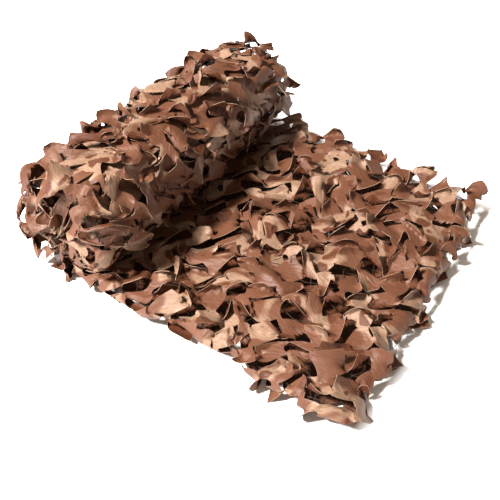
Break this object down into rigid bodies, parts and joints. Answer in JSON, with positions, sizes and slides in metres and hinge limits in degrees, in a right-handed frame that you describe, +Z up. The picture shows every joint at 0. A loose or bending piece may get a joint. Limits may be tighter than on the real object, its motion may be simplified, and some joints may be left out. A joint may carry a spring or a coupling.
{
  "type": "camouflage netting",
  "caption": "Camouflage netting: cloth slit into curled leaves over a knotted carrier net, folded lengthwise, half rolled up and half laid out flat.",
  "frame": {"origin": "middle of the part's footprint, on the surface it lies on", "axes": "+X along the loose stretch, away from the roll; +Y along the roll, from the folded side to the cut edges; +Z up"},
  "size_m": [0.888, 0.7732, 0.2984],
  "materials": {
    "leaf_cloth": "thin coated woven cloth, satin, desert brown",
    "net_cord": "matte twisted cord, dark olive brown"
  },
  "bodies": {
    "root": {"rolled_net": "leaf_cloth", "loose_leaf_cloth": "leaf_cloth", "carrier_net": "net_cord"}
  },
  "joints": []
}
